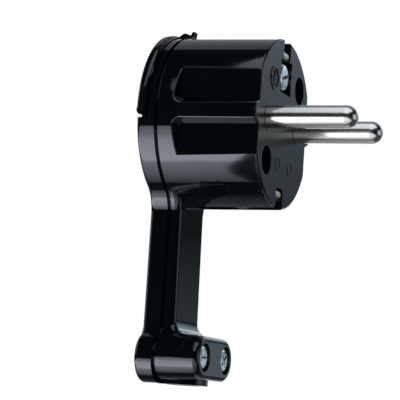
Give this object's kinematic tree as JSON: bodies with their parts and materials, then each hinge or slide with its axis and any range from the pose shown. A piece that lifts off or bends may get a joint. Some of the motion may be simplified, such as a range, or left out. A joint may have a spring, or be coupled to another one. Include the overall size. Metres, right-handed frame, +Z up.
{
  "type": "angled mains plug",
  "caption": "Angled earthed mains plug: round head with contact pins, a flat cable arm ending in a clamp block, and a hinged pull bow at the back.",
  "frame": {"origin": "middle of the flat pin face, half-way between the roots of the contact pins", "axes": "+X out of the face along the pins, +Z up with the cable arm hanging down along -Z, +Y across the pins"},
  "size_m": [0.045, 0.0372, 0.0757],
  "materials": {
    "housing": "glossy black thermoplastic, satin on the pin face",
    "bow": "glossy black thermoplastic",
    "pin": "nickel-plated brass, polished",
    "earth": "tinned brass strip",
    "screw": "zinc-plated steel",
    "insert": "plain brass"
  },
  "bodies": {
    "plug_body": {"front_housing": "housing", "back_cover": "housing", "contact_pin_left": "pin", "contact_pin_right": "pin", "earth_strip": "earth", "earth_block": "earth", "housing_screw_lower": "screw", "housing_screw_upper": "screw", "clamp_screw_left": "screw", "clamp_screw_right": "screw", "terminal_screw_left": "screw", "terminal_screw_right": "screw", "earth_screw": "screw", "housing_insert_lower": "insert", "housing_insert_upper": "insert", "clamp_insert_left": "insert", "clamp_insert_right": "insert"},
    "bow": {"pull_bow": "bow"}
  },
  "joints": [
    {"name": "bow_hinge", "type": "hinge", "parent": "plug_body", "child": "bow", "pos_m": [-0.0249, 0, 0], "axis": [0, -1, 0], "range_deg": [0, 90]}
  ]
}
